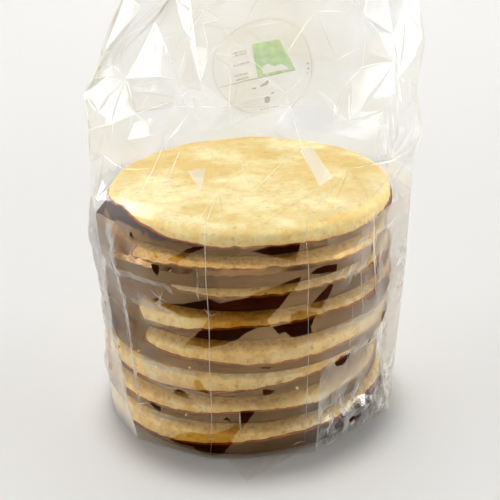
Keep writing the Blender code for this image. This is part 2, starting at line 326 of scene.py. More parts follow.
# Spots of print: centre, radius, squash and turn.
STICKER_SPOTS = (
    ((1.4, -5.6), 1.1, 0.5, 0.9), ((0.1, -6.4), 0.9, 0.45, 0.5), ((1.5, -11.2), 1.2, 0.75, 1.3),
    ((3.2, -9.0), 0.7, 0.4, 0.7), ((-2.6, -7.4), 0.8, 0.35, 0.2), ((0.6, -14.4), 0.22, 1.0, 0.0),
    ((1.6, -14.3), 0.22, 1.0, 0.0), ((2.6, -14.2), 0.25, 1.0, 0.0), ((3.6, -14.0), 0.2, 1.0, 0.0),
    ((4.5, -13.7), 0.25, 1.0, 0.0), ((5.4, -13.4), 0.2, 1.0, 0.0), ((14.2, 1.2), 0.35, 0.8, 0.4),
    ((14.4, -0.4), 0.35, 0.8, 0.4), ((14.1, -2.0), 0.25, 1.0, 0.0),
)

# --- The camera, fitted to the coat lines, from the stack's axis. ---
CAMERA_PLACE = Vector((1.95, -275.97, 164.84))
CAMERA_RIGHT = Vector((0.99948, -0.01288, -0.02963))
CAMERA_UP = Vector((0.03231, 0.39858, 0.91656))
CAMERA_LENS = 72.0
CAMERA_SENSOR = 36.0

# --- The stage and the light, in metres and watts. ---
FLOOR_RADIUS = 6.0
FLOOR_Z = -0.0002
SOFT_BOX_WAY = (-0.02, 0.18, 1.0)  # from the bag to the soft box
SOFT_BOX_EDGE = (0.9920, 0.9985)  # cosines of the angles off that way where it ends and is full
SOFT_BOX_STRENGTH = 65.0
ROOM_STRENGTH = (0.08, 0.24)
SIDE_STRENGTH = 5.8
FRONT_STRENGTH = 1.3
WORLD_COLOUR = (1.0, 0.995, 0.985, 1.0)
FLOOR_LIGHT_PLACE = (0.0, 0.75, 0.90)
FLOOR_LIGHT_SIDE = 0.8
FLOOR_LIGHT_WATTS = 3.9
FLOOR_LIGHT_COLOUR = (1.0, 0.99, 0.97)


# ------------------------------------------------------------------ shared helpers

def smooth(low, high, value):
    """0 up to low, 1 from high on, and an even curve between."""
    share = min(1.0, max(0.0, (value - low) / (high - low)))
    return share * share * (3.0 - 2.0 * share)


def heading(azimuth):
    """The unit vector that points to an azimuth in radians."""
    return Vector((math.sin(azimuth), -math.cos(azimuth), 0.0))


def wave(x, y, z, seed=0.0):
    """Smooth noise from about -1 to 1."""
    return noise.noise(Vector((x + seed * 13.7, y - seed * 7.1, z + seed * 3.3))) * 1.6


def add_object(name, mesh, materials):
    for material in materials:
        mesh.materials.append(material)
    obj = bpy.data.objects.new(name, mesh)
    bpy.context.scene.collection.objects.link(obj)
    return obj


def to_frame(point):
    """From millimetres about the stack's axis to metres in the frame."""
    return (point + STACK_AXIS) * MM


def mesh_of(name, points, faces):
    """A mesh from points in millimetres about the stack's axis."""
    mesh = bpy.data.meshes.new(name)
    mesh.from_pydata([to_frame(p) for p in points], [], faces)
    mesh.validate()
    return mesh


def face_outwards(mesh):
    shape = bmesh.new()
    shape.from_mesh(mesh)
    bmesh.ops.recalc_face_normals(shape, faces=shape.faces)
    shape.to_mesh(mesh)
    shape.free()


def base_heights():
    heights = [STACK_FOOT]
    for biscuit in BISCUITS:
        heights.append(heights[-1] + biscuit[3])
    return heights


BASES = base_heights()


# ------------------------------------------------------------------ the bag's surface

def creases_at(z):
    """(azimuth in radians, radius) of each upright crease at a height on the stack."""
    share = min(1.0, max(0.0, z / SHOULDER_Z))
    return [
        (math.radians(low_a + (high_a - low_a) * share), low_r + (high_r - low_r) * share)
        for low_a, low_r, high_a, high_r in CREASES
    ]


def shoulder(level):
    return TOP_SHOULDER if level == len(BISCUITS) - 1 else SHOULDER


def rim_waver(azimuth, level):
    way = heading(azimuth)
    return noise.noise(Vector((way.x * 2.1, way.y * 2.1, level * 1.9))) * RIM_WAVER


def rim_radius(azimuth, level):
    """The radius of one biscuit's dipped side, about the stack's axis."""
    across, along, radius, _ = BISCUITS[level]
    way = heading(azimuth)
    return radius + across * way.x + along * way.y + rim_waver(azimuth, level)


def rim_knots():
    """The heights between which each biscuit's side carries the film: (low, high) of each."""
    low, high = RIM_BAND
    return [(z + low * biscuit[3], z + high * biscuit[3]) for z, biscuit in zip(BASES, BISCUITS)]


RIMS = rim_knots()


def bridged_radius(azimuth, z):
    """The film's radius where it is drawn from rim to rim, with little lean from the upright."""
    if z <= RIMS[0][0]:
        drop = 1.0 - max(0.0, z) / RIMS[0][0]
        return rim_radius(azimuth, 0) - FOOT_TUCK * drop ** 3
    radius = 0.0
    for level, (low, high) in enumerate(RIMS):
        away = max(low - z, z - high, 0.0)
        if away < LEAN_REACH:
            radius = max(radius, rim_radius(azimuth, level) - FILM_LEAN * away)
    for (_, high), (low, _) in zip(RIMS, RIMS[1:]):
        if high < z < low:
            share = (z - high) / (low - high)
            radius -= FILM_SAG * 4.0 * share * (1.0 - share)
    return radius


def stuffed_radius(azimuth, z):
    """The outer radius of the biscuit at this height, as if its coat reached to the top."""
    level = max(k for k in range(len(BISCUITS)) if BASES[k] <= max(z, STACK_FOOT))
    thickness = BISCUITS[level][3]
    drop, width = shoulder(level)
    above = z - BASES[level] - (thickness - drop)
    inward = 0.0
    if above > 0.0:
        share = min(1.0, above / (drop + COAT))
        inward = width * (1.0 - math.sqrt(1.0 - share * share))
    return rim_radius(azimuth, level) - inward


def core_radius(azimuth, z):
    """The film's radius on the stack, outside every coat."""
    return max(bridged_radius(azimuth, z), stuffed_radius(azimuth, z)) + FILM_OVER_RIM


def wrapped_radius(azimuth, core, creases):
    """Film drawn tight from the core's side to the creases that stand off it."""
    radius = core
    for crease_azimuth, crease_radius in creases:
        if crease_radius <= core:
            continue
        spread = math.acos(core / crease_radius)
        gap = abs(math.remainder(azimuth - crease_azimuth, math.tau))
        if gap < spread:
            radius = max(radius, core / math.cos(spread - gap))
    return radius


def azimuth_of(place, z):
    """The azimuth at a place counted in creases, from 0 to 8."""
    creases = creases_at(z)
    k = int(math.floor(place)) % len(CREASES)
    low = creases[k][0]
    high = creases[k + 1][0] if k + 1 < len(CREASES) else creases[0][0] + math.tau
    return low + (high - low) * (place - math.floor(place))


def place_of(azimuth, z):
    """The place counted in creases, from 0 to 8, of an azimuth in radians."""
    creases = creases_at(z)
    first = creases[0][0]
    turned = (azimuth - first) % math.tau + first
    marks = [a for a, _ in creases] + [first + math.tau]
    for k in range(len(CREASES)):
        if turned < marks[k + 1]:
            return k + (turned - marks[k]) / (marks[k + 1] - marks[k])
    return 0.0


def seal_point(place, z):
    """A point of the flat seal, whose side folds are tucked in between its two faces."""
    along = Vector((math.cos(SEAL_TURN), math.sin(SEAL_TURN), 0.0))
    out = heading(SEAL_TURN) * SEAL_HALF_THICKNESS
    end = along * SEAL_HALF_WIDTH
    inner = along * (SEAL_HALF_WIDTH - TUCK_DEPTH)
    marks = (-end + out, out, end + out, inner, end - out, -out, -end - out, -inner)
    k = int(math.floor(place)) % len(marks)
    flat = marks[k].lerp(marks[(k + 1) % len(marks)], place - math.floor(place))
    if z > SEAL_Z:
        turns = (z - SEAL_Z) / SEAL_HEIGHT * SEAL_RIBS
        flat = flat + heading(SEAL_TURN) * RIB_DEPTH * math.sin(turns * math.tau)
    return flat + SEAL_CENTRE + Vector((0.0, 0.0, z))


def bag_point(place, z):
    """A point of the smooth bag, before its film is creased."""
    azimuth = azimuth_of(place, z)
    way = heading(azimuth)
    radius = wrapped_radius(azimuth, core_radius(azimuth, z), creases_at(z))
    on_stack = way * radius + Vector((0.0, 0.0, z))
    if z <= SHOULDER_Z:
        return on_stack
    spread = smooth(SHOULDER_Z, BELLY_Z, z)
    closed = smooth(CLOSING_Z, SEAL_Z, z)
    belly = Vector((way.x * BELLY_HALF_WIDTH, way.y * BELLY_HALF_DEPTH, z)) + BELLY_CENTRE
    flat = seal_point(place, z)
    return on_stack.lerp(belly, spread).lerp(flat, closed)


# ------------------------------------------------------------------ the creased film

class Film:
    """The film as a flat pattern, u round the bag and v up it, that folds into the bag."""

    width = ARC * len(CREASES)

    def __init__(self):
        self.random = np.random.default_rng(SEED)
        corners, edges, fixed = self.corners_and_creases()
        found = delaunay_2d_cdt([Vector(c) for c in corners], edges, [], 0, 1e-4, True)
        self.uv = [(c.x, c.y) for c in found[0]]
        self.edges = [tuple(e) for e in found[1]]
        self.faces = [tuple(f) for f in found[2]]
        drawn = {}
        self.dents = []
        for (u, v), sources in zip(self.uv, found[3]):
            key = (round(u % self.width, 2), round(v, 2))
            if key not in drawn:
                drawn[key] = self.dent(u, v)
            known = [fixed[s] for s in sources if s in fixed]
            self.dents.append((known[0] if known else drawn[key]) * self.beside_sticker(u, v))
        self.corners = [
            self.base(u, v) + self.out(u, v) * d for (u, v), d in zip(self.uv, self.dents)
        ]
        flat = [Vector((u, v, 0.0)) for u, v in self.uv]
        self.tree = BVHTree.FromPolygons(flat, self.faces)

    def place(self, u):
        return (SEAM + u / ARC) % len(CREASES)

    def at(self, place, z):
        """The pattern's (u, v) at a place counted in creases."""
        return ((place - SEAM) % len(CREASES)) * ARC, z

    def at_azimuth(self, azimuth_degrees, z):
        return self.at(place_of(math.radians(azimuth_degrees), z), z)

    def base(self, u, v):
        return bag_point(self.place(u), v)

    def out(self, u, v):
        """The way out of the bag, square to its surface."""
        side = 0.6
        low = self.base(max(0.0, u - side), v)
        high = self.base(min(self.width, u + side), v)
        below = self.base(u, max(0.0, v - side))
        above = self.base(u, min(TOP_Z, v + side))
        normal = (high - low).cross(above - below)
        if normal.length < 1e-9:
            return heading(azimuth_of(self.place(u), v))
        return normal.normalized()

    def beside_sticker(self, u, v):
        """0 on the sticker, which keeps the film flat, and 1 well away from it."""
        centre_u, centre_v = self.at(*STICKER_PLACE)
        across = abs(u - centre_u)
        across = min(across, self.width - across)
        return smooth(STICKER_RADIUS - 3.0, STICKER_RADIUS + 6.0, math.hypot(across, v - centre_v))

    def dent(self, u, v):
        """How far a facet's corner stands off the smooth bag."""
        head = smooth(SHOULDER_Z, BELLY_Z, v) * (1.0 - smooth(CLOSING_Z + 8.0, SEAL_Z, v)) ** 0.8
        draw = self.random.normal(0.0, DENT_SPREAD)
        draw = float(np.clip(draw, -DENT_LIMIT, DENT_LIMIT))
        if v < SHOULDER_Z:
            return abs(draw) * DENT_ON_STACK
        if v >= SEAL_Z:
            return 0.0
        return draw * (DENT_ON_STACK + head)

    def corners_and_creases(self):
        """The facets' corners, the creases between them, and the corners with a fixed dent."""
        corners, edges, fixed = [], [], {}
        for dent, way in HEAD_CREASES:
            first = len(corners)
            corners += [self.at(place, z) for place, z in way]
            for i in range(len(way)):
                fixed[first + i] = dent * (0.4 if i in (0, len(way) - 1) else 1.0)
            for i in range(first, len(corners) - 1):
                if abs(corners[i][0] - corners[i + 1][0]) < self.width / 2:
                    edges.append((i, i + 1))
        placed = list(corners)
        rows = int(TOP_Z / (FACET_STEP * 0.87))
        count = int(self.width / FACET_STEP)
        for row in range(rows + 1):
            for i in range(count + 1):
                u = self.width * (i + 0.5 * (row % 2)) / count
                v = TOP_Z * row / rows
                if 0 < row < rows and v < SEAL_Z - 4.0:
                    u += self.random.uniform(-0.38, 0.38) * FACET_STEP
                    v += self.random.uniform(-0.36, 0.36) * FACET_STEP
                off_crease = abs(u / ARC - round(u / ARC)) * ARC
                inside = CREASE_GAP < u < self.width - CREASE_GAP
                free = all(math.hypot(u - a, v - b) > 2.2 * CREASE_GAP for a, b in placed)
                if inside and off_crease > CREASE_GAP and free:
                    corners.append((u, v))
        for k in range(len(CREASES) + 1):
            first = len(corners)
            corners += [(k * ARC, TOP_Z * row / rows) for row in range(rows + 1)]
            edges += [(first + row, first + row + 1) for row in range(rows)]
        return corners, edges, fixed

    def shares(self, u, v):
        """The facet under a place of the pattern, and the shares of its three corners."""
        _, _, index, _ = self.tree.find_nearest(Vector((u, v, 0.0)))
        a, b, c = self.faces[index]
        (ax, ay), (bx, by), (cx, cy) = self.uv[a], self.uv[b], self.uv[c]
        area = (bx - ax) * (cy - ay) - (cx - ax) * (by - ay)
        to_b = ((u - ax) * (cy - ay) - (cx - ax) * (v - ay)) / area
        to_c = ((bx - ax) * (v - ay) - (u - ax) * (by - ay)) / area
        return (a, b, c), (1.0 - to_b - to_c, to_b, to_c)

    def pleats(self, u, v):
        """Upright pleats of the film gathered beside the stack, and crumpling at its foot."""
        height = smooth(3.0, 15.0, v) * (1.0 - smooth(60.0, 72.0, v))
        left = smooth(58.0, 72.0, u) * (1.0 - smooth(108.0, 122.0, u))
        right = smooth(186.0, 205.0, u) * (1.0 - smooth(240.0, 256.0, u))
        gathered = max(0.0, wave(u / 4.2, v / 34.0, 0.0, 21.0)) * (1.3 * left + 0.8 * right) * height
        rough = wave(u / 5.0, v / 4.0, 0.0, 23.0) * 0.9 * self.foot_crumple(u, v)
        return gathered + rough * smooth(0.0, 3.0, v)

    def foot_crumple(self, u, v):
        """How far the film is crumpled at the foot of the stack, right of its front."""
        across = smooth(168.0, 182.0, u) * (1.0 - smooth(225.0, 240.0, u))
        return across * (1.0 - smooth(9.0, 20.0, v))

    def point(self, u, v):
        """The creased film at a place of its pattern."""
        corners, shares = self.shares(u, v)
        out = self.out(u, v)
        dent = sum(self.dents[c] * s for c, s in zip(corners, shares))
        curved = self.base(u, v) + out * (dent + self.pleats(u, v))
        flat_share = FACET_FLATNESS * self.beside_sticker(u, v)
        flat_share *= smooth(SHOULDER_Z, SHOULDER_Z + 8.0, v)
        flat_share *= 1.0 - smooth(CLOSING_Z + 30.0, SEAL_Z - 8.0, v)
        if flat_share > 0.0:
            flat = Vector((0.0, 0.0, 0.0))
            for corner, share in zip(corners, shares):
                flat += self.corners[corner] * share
            curved = curved.lerp(flat, flat_share)
        ripple = wave(curved.x / 9.0, curved.y / 9.0, curved.z / 13.0, 2.0) * 0.15
        return curved + out * ripple * smooth(2.0, 12.0, v) * (1.0 - smooth(140.0, SEAL_Z, v))

    def lifted(self, u, v, lift):
        """A point off the creased film, outwards by lift."""
        return self.point(u, v) + self.out(u, v) * lift


film = Film()


def film_mesh():
    """The bag's wall as one closed sheet, with its patches of painted shade and of painted highlight,
    and its film on the stack, in their own slots.
    """
    random = np.random.default_rng(SEED + 1)
    points = []
    rows = int(TOP_Z / (FINE_STEP * 0.9))
    columns = int(film.width / FINE_STEP)
    for row in range(rows + 1):
        v = TOP_Z * row / rows
        for i in range(columns + 1):
            u = film.width * (i + 0.5 * (row % 2)) / columns
            if 0.4 * FINE_STEP < u < film.width - 0.4 * FINE_STEP:
                jitter = random.uniform(-0.22, 0.22, 2) * FINE_STEP
                inside = 0 < row < rows
                points.append((u + jitter[0], v + (jitter[1] if inside else 0.0)))
        points.append((0.0, v))
        points.append((film.width, v))
    edges = []
    offset = len(points)
    points += film.uv
    for a, b in film.edges:
        on_crease = abs(film.uv[a][0] - film.uv[b][0]) < 1e-6
        if on_crease or min(film.uv[a][1], film.uv[b][1]) > SHOULDER_Z:
            edges.append((offset + a, offset + b))
    outlines = []
    # Outlines of painted shade and of painted highlights, each in its slot.
    for slot, patches, to_pattern in (
        (PAINTED_SHADE_SLOT, PAINTED_SHADE_PATCHES, film.at_azimuth),
        (PAINTED_HIGHLIGHT_SLOT, PAINTED_STACK_HIGHLIGHTS, film.at_azimuth),
        (PAINTED_HIGHLIGHT_SLOT, PAINTED_HEAD_HIGHLIGHTS, film.at),
    ):
        outlines += [(slot, [to_pattern(*corner) for corner in patch]) for patch in patches]
    for _, outline in outlines:
        first, count = len(points), len(outline)
        points += outline
        edges += [(first + i, first + (i + 1) % count) for i in range(count)]
    found = delaunay_2d_cdt([Vector(p) for p in points], edges, [], 0, 1e-4, True)
    verts, faces = found[0], found[2]
    mesh = bmesh.new()
    loose = mesh.verts.layers.float.new("loose")
    made = [mesh.verts.new(film.point(p.x, p.y)) for p in verts]
    for vert, p in zip(made, verts):
        vert[loose] = looseness(p.x, p.y)
    for face in faces:
        u = sum(verts[i].x for i in face) / 3.0
        v = sum(verts[i].y for i in face) / 3.0
        made_face = mesh.faces.new([made[i] for i in face])
        if v < min(coat_top(u, v) + COAT_GLOW, ON_STACK_TOP):
            made_face.material_index = ON_STACK_SLOT
        for slot, outline in outlines:
            if holds(outline, u, v):
                made_face.material_index = slot
    close_end(mesh, made, verts, 0.0)
    close_end(mesh, made, verts, TOP_Z)
    bmesh.ops.remove_doubles(mesh, verts=mesh.verts, dist=1e-3)
    bmesh.ops.recalc_face_normals(mesh, faces=mesh.faces)
    for vert in mesh.verts:
        vert.co = to_frame(vert.co)
    data = bpy.data.meshes.new("film")
    mesh.to_mesh(data)
    mesh.free()
    data.shade_smooth()
    data.set_sharp_from_angle(angle=math.radians(7.0))
    return data


def coat_top(u, v):
    """The height of the uppermost coat's edge behind a place of the film's pattern."""
    level = len(BISCUITS) - 1
    return BASES[level] + coat_line(level, azimuth_of(film.place(u), min(v, SHOULDER_Z)))


def looseness(u, v):
    """0 where the film lies on the stack, and 1 where it stands well off it."""
    height = min(v, SHOULDER_Z)
    azimuth = azimuth_of(film.place(u), height)
    core = core_radius(azimuth, height)
    off = smooth(*LOOSE_GAPS, wrapped_radius(azimuth, core, creases_at(height)) - core)
    above = smooth(SHOULDER_Z + 1.0, SHOULDER_Z + 6.0, v)
    return max(off, above, film.foot_crumple(u, v))


def fold_lines():
    """The creases that show as fine whitish lines, partly painted highlight: (half width, places in
    the pattern).
    """
    random = np.random.default_rng(SEED + 2)
    lines = [(HEAD_LINE, [film.at(*corner) for corner in way]) for _, way in HEAD_CREASES]
    for half_width, way in STACK_FOLDS:
        lines.append((half_width, [film.at_azimuth(*corner) for corner in way]))
    beside = {}
    for face in film.faces:
        a, b, c = (film.corners[i] for i in face)
        normal = (b - a).cross(c - a).normalized()
        for i in range(3):
            edge = tuple(sorted((face[i], face[i - 1])))
            beside.setdefault(edge, []).append(normal)
    for edge in sorted(beside):
        normals = beside[edge]
        heights = [film.uv[i][1] for i in edge]
        if len(normals) < 2 or min(heights) < SHOULDER_Z + 4.0 or max(heights) > SEAL_Z - 4.0:
            continue
        fold = math.degrees(normals[0].angle(normals[1], 0.0))
        if fold > FOLD_ANGLE and random.uniform() < FOLD_CHANCE:
            lines.append((0.05 + 0.002 * min(fold, 40.0), [film.uv[i] for i in edge]))
    return lines


def folds_mesh():
    """Every fold line as a fine ridge on the film, drawn out to a point at its ends."""
    points, faces = [], []
    for half_width, way in fold_lines():
        fine = []
        for (au, av), (bu, bv) in zip(way, way[1:]):
            if abs(bu - au) > film.width / 2:
                continue
            count = max(1, int(math.hypot(bu - au, bv - av) / LINE_STEP))
            fine += [(au + (bu - au) * i / count, av + (bv - av) * i / count) for i in range(count)]
        fine.append(way[-1])
        if len(fine) < 3:
            continue
        centres = [film.lifted(u, v, 0.12) for u, v in fine]
        last = len(fine) - 1
        first = len(points)
        for i, centre in enumerate(centres):
            ahead = centres[min(last, i + 1)] - centres[max(0, i - 1)]
            out = film.out(*fine[i])
            across = out.cross(ahead).normalized()
            width = half_width * min(1.0, 0.15 + 3.0 * min(i, last - i) / last)
            points += [centre - across * width, centre + out * 0.6 * width, centre + across * width]
        for i in range(last):
            k = first + 3 * i
            faces += [(k, k + 1, k + 4, k + 3), (k + 1, k + 2, k + 5, k + 4)]
    return mesh_of("film_folds", points, faces)


def holds(outline, u, v):
    """Whether a place of the pattern lies in an outline."""
    inside = False
    for i, (ax, ay) in enumerate(outline):
        bx, by = outline[i - 1]
        if (ay > v) != (by > v) and u < (bx - ax) * (v - ay) / (by - ay) + ax:
            inside = not inside
    return inside


def close_end(mesh, made, verts, height):
    """Fills the open end of the pattern at this height with flat film."""
    rim = [i for i, p in enumerate(verts) if abs(p.y - height) < 1e-3]
    rim.sort(key=lambda i: verts[i].x)
    rim = rim[:-1]
    outline = [Vector((made[i].co.x, made[i].co.y)) for i in rim]
    inner = []
    if height == 0.0:
        for share, count in BASE_RINGS:
            radius = BASE_RADIUS * share
            for i in range(count):
                turn = math.tau * (i + 0.37 * share) / count
                inner.append(Vector((math.cos(turn) * radius, math.sin(turn) * radius)))
    count = len(outline)
    edges = [(i, (i + 1) % count) for i in range(count)]
    found = delaunay_2d_cdt(outline + inner, edges, [list(range(count))], 1, 1e-4, True)
    end_verts = []
    for i, p in enumerate(found[0]):
        sources = [s for s in found[3][i] if s < count]
        if sources:
            end_verts.append(made[rim[sources[0]]])
        else:
            end_verts.append(mesh.verts.new(Vector((p.x, p.y, height))))
    for face in found[2]:
        corners = [end_verts[i] for i in face]
        if len(set(corners)) == 3:
            mesh.faces.new(corners)


def flap_mesh():
    """The small flap of the bottom seam on the table in front, pleated towards its tip."""
    points, faces = [], []
    across, along = FLAP_GRID
    for i in range(across + 1):
        root = FLAP_ROOTS[0].lerp(FLAP_ROOTS[1], i / across)
        for j in range(along + 1):
            share = j / along
            pleat = FLAP_PLEAT * abs(math.sin(i * 1.35 + 2.0 * share)) * (1.0 - share)
            raised = Vector((0.0, 0.0, FLAP_LIFT + pleat))
            points.append(root.lerp(FLAP_TIP, share * 0.985) + raised)
    for i in range(across):
        for j in range(along):
            k = i * (along + 1) + j
            faces.append((k, k + 1, k + along + 2, k + along + 1))
    return mesh_of("film_flap", points, faces)


# ------------------------------------------------------------------ the biscuits

def side_profile(radius, foot, top, drop, width):
    """(radius, height) up a biscuit's outside, from the middle of its base to its upper edge."""
    points = [(radius * share, foot) for share in (0.0, 0.35, 0.7, 0.9)]
    for step in range(6):
        turn = math.pi / 2 * step / 5
        r = radius - BOTTOM_ROUND + BOTTOM_ROUND * math.sin(turn)
        points.append((r, foot + BOTTOM_ROUND - BOTTOM_ROUND * math.cos(turn)))
    low, high = foot + BOTTOM_ROUND, top - drop
    points += [(radius, low + (high - low) * step / 8) for step in range(1, 8)]
    for step in range(10):
        turn = math.pi / 2 * step / 9
        r = radius - width + width * math.cos(turn)
        points.append((r, top - drop + drop * math.sin(turn)))
    return points


def crumb_relief(point, level):
    """How far the crumbs of a biscuit's side stand out."""
    rough = wave(point.x / 2.3, point.y / 2.3, point.z / 1.7, 5.0 + level)
    fine = wave(point.x / 0.9, point.y / 0.9, point.z / 0.8, 11.0 + level)
    return rough * 0.20 + fine * 0.12


def shortbread(level, material):
    """One biscuit's baked body, with crumbly sides and, on the uppermost, its whole top."""
    across, along, radius, thickness = BISCUITS[level]
    uppermost = level == len(BISCUITS) - 1
    body = radius - COAT
    top = thickness - TOP_CLEARANCE
    drop, width = shoulder(level)
    profile = side_profile(body, COAT, top, drop, width)
    inner = body - width
    rings = 30 if uppermost else 6
    profile += [(inner * (1.0 - step / rings), top) for step in range(1, rings + 1)]
    around = 240 if uppermost else 200
    azimuths = [math.tau * i / around for i in range(around)]
    centre = Vector((across, along, BASES[level]))
    points, bake_and_shade, rows = [], [], []
    for r, z in profile:
        if r < 1e-6:
            rows.append([len(points)])
            points.append(centre + Vector((0.0, 0.0, z)))
            bake_and_shade.append(0.0)
            continue
        row = []
        for azimuth in azimuths:
            way = heading(azimuth)
            waver = rim_waver(azimuth, level) * smooth(0.3, 1.0, r / body)
            point = centre + way * (r + waver) + Vector((0.0, 0.0, z))
            side = smooth(COAT, COAT + 2.0, z) * smooth(inner - 6.0, body, r)
            point += way * crumb_relief(point, level) * side
            if z > top - drop:
                point.z += top_relief(point, level, r, body) * smooth(top - drop, top, z)
            row.append(len(points))
            points.append(point)
            # Painted shade: a lower biscuit's side turns dark brown towards its upper edge, under the
            # biscuit above. The uppermost has a golden baked rim instead.
            edge = smooth(top - SHADE_REACH, top - 0.8, z)
            if uppermost:
                edge = smooth(body - RIM_BAKE, body - 0.3, r)
            bake_and_shade.append(edge)
        rows.append(row)
    return ring_object(f"shortbread_{level + 1}", points, rows, material, "edge", bake_and_shade)


def top_relief(point, level, r, body):
    """Bumps, pits and one short crack of a biscuit's top."""
    if level < len(BISCUITS) - 1:
        return -0.15 * abs(wave(point.x / 8.0, point.y / 8.0, 0.0, level))
    broad = wave(point.x / 15.0, point.y / 15.0, 0.0, 3.0) * 0.38
    middle = wave(point.x / 5.0, point.y / 5.0, 0.0, 4.0) * 0.14
    fine = wave(point.x / 1.8, point.y / 1.8, 0.0, 6.0) * 0.06
    place = point - CRACK
    crack = math.exp(-((place.x / 2.6) ** 2) - ((place.y - 0.12 * place.x) / 0.7) ** 2)
    return broad + middle + fine - crack - 0.25 * smooth(0.80, 1.0, r / body)


def ring_object(name, points, rows, material, field, values):
    """A closed object through rings of points, with a value at each; one point alone is a pole."""
    faces = []
    for low, high in zip(rows, rows[1:]):
        count = max(len(low), len(high))
        for i in range(count):
            j = (i + 1) % count
            if len(low) == 1:
                faces.append((low[0], high[j], high[i]))
            elif len(high) == 1:
                faces.append((low[i], low[j], high[0]))
            else:
                faces.append((low[i], low[j], high[j], high[i]))
    mesh = mesh_of(name, points, faces)
    attribute = mesh.attributes.new(field, "FLOAT", "POINT")
    attribute.data.foreach_set("value", values)
    face_outwards(mesh)
    mesh.shade_smooth()
    return add_object(name, mesh, [material])


def coat_line(level, azimuth):
    """The height of the coat's upper edge above the biscuit's base."""
    thickness = BISCUITS[level][3]
    turn = math.degrees(math.remainder(azimuth, math.tau))
    way = heading(azimuth)
    stations = (-100.0, *DIP_AZIMUTHS, 100.0)
    line = float(np.interp(turn, stations, (DIP_BEHIND, *DIPS[level], DIP_BEHIND)))
    if level in LEFT_COATED:
        start, end = LEFT_COATED[level]
        climb = smooth(-start, RISE_WIDTH - start, -turn)
        line += RISE * climb * (1.0 - smooth(-end, FALL_WIDTH - end, -turn))
    aside = smooth(50.0, 80.0, abs(turn))
    line += wave(way.x * 3.0, way.y * 3.0, level * 2.1, 1.0) * 0.40 * aside
    for often, seed, far in COAT_WAVERS:
        line += wave(way.x * often, way.y * often, level * 2.1, seed) * far
    return max(1.9, min(thickness - 0.35, line))


def chocolate(level, material):
    """One biscuit's coat: a thin cup under and round it, with a wavering upper edge."""
    across, along, radius, thickness = BISCUITS[level]
    body = radius - COAT
    top = thickness - TOP_CLEARANCE
    profile = side_profile(body, COAT, top, *shoulder(level))
    lengths = [0.0]
    for (r0, z0), (r1, z1) in zip(profile, profile[1:]):
        lengths.append(lengths[-1] + math.hypot(r1 - r0, z1 - z0))
    azimuths = [math.tau * i / COAT_POINTS for i in range(COAT_POINTS)]
    centre = Vector((across, along, BASES[level]))
    radii = [r for r, _ in profile]
    heights = [z for _, z in profile]
    foot = lengths[ROUND_LAST]
    points, lips, rows = [], [], []

    def at(length):
        """(radius, height) at a length along the profile, and the way out of the biscuit there."""
        behind, here, ahead = (
            (float(np.interp(place, lengths, radii)), float(np.interp(place, lengths, heights)))
            for place in (max(0.0, length - 0.25), length, min(lengths[-1], length + 0.25))
        )
        dr = ahead[0] - behind[0]
        dz = ahead[1] - behind[1]
        size = math.hypot(dr, dz)
        return (*here, dz / size, -dr / size)

    def add_row(length_of, depth_of, lip):
        """A ring at a length along the profile and a depth of coat, each by azimuth."""
        row = []
        for azimuth in azimuths:
            way = heading(azimuth)
            r, z, out_r, out_z = at(length_of(azimuth))
            depth = depth_of(azimuth)
            waver = rim_waver(azimuth, level) * smooth(0.3, 1.0, r / body)
            point = centre + way * (r + waver + out_r * depth) + Vector((0.0, 0.0, z + out_z * depth))
            row.append(len(points))
            points.append(point)
            lips.append(lip)
        rows.append(row)

    def level_row(length, depth):
        """A ring under the biscuit or on its rounded lower edge."""
        add_row(lambda a: length, lambda a: depth, 0.0)

    def side_row(share, depth_of, lip):
        """A ring at a share of the way from the rounded lower edge up to the coat's edge."""
        add_row(lambda a: foot + (ends[a] - foot) * share, depth_of, lip)

    ends = {}
    for azimuth in azimuths:
        line = coat_line(level, azimuth)
        ends[azimuth] = float(np.interp(line, heights[ROUND_FIRST:], lengths[ROUND_FIRST:]))

    def swell(azimuth, share):
        """The coat's thickness at a share of the way up to its edge."""
        lump = wave(azimuth * 3.0, share * 2.0, level, 8.0) * 0.07
        return COAT * (1.0 + lump) * (1.0 - 0.35 * share ** 3)

    rows.append([0])
    points.append(centre + Vector((0.0, 0.0, COAT_FOOT)))
    lips.append(0.0)
    for share in (0.4, 0.75):
        level_row(lengths[ROUND_FIRST] * share, COAT - COAT_FOOT)
    for index in range(ROUND_FIRST, ROUND_LAST + 1):
        level_row(lengths[index], COAT - COAT_FOOT)
    for share in (0.15, 0.35, 0.55, 0.72, 0.84, 0.91, 0.96):
        side_row(share, lambda a: swell(a, share), smooth(0.86, 1.0, share))
    side_row(1.0, lambda a: LIP_SHARE * COAT, 1.0)
    add_row(lambda a: ends[a] + 0.12, lambda a: -0.15, 1.0)
    for share in (0.97, 0.8, 0.5):
        side_row(share, lambda a: -COAT_OVERLAP, 0.6)
    for index in (ROUND_LAST, 6, ROUND_FIRST):
        level_row(lengths[index], -COAT_OVERLAP)
    for share in (0.75, 0.4):
        level_row(lengths[ROUND_FIRST] * share, -COAT_OVERLAP)
    rows.append([len(points)])
    points.append(centre + Vector((0.0, 0.0, COAT + COAT_OVERLAP)))
    lips.append(0.0)
    return ring_object(f"chocolate_{level + 1}", points, rows, material, "lip", lips)


# ------------------------------------------------------------------ materials

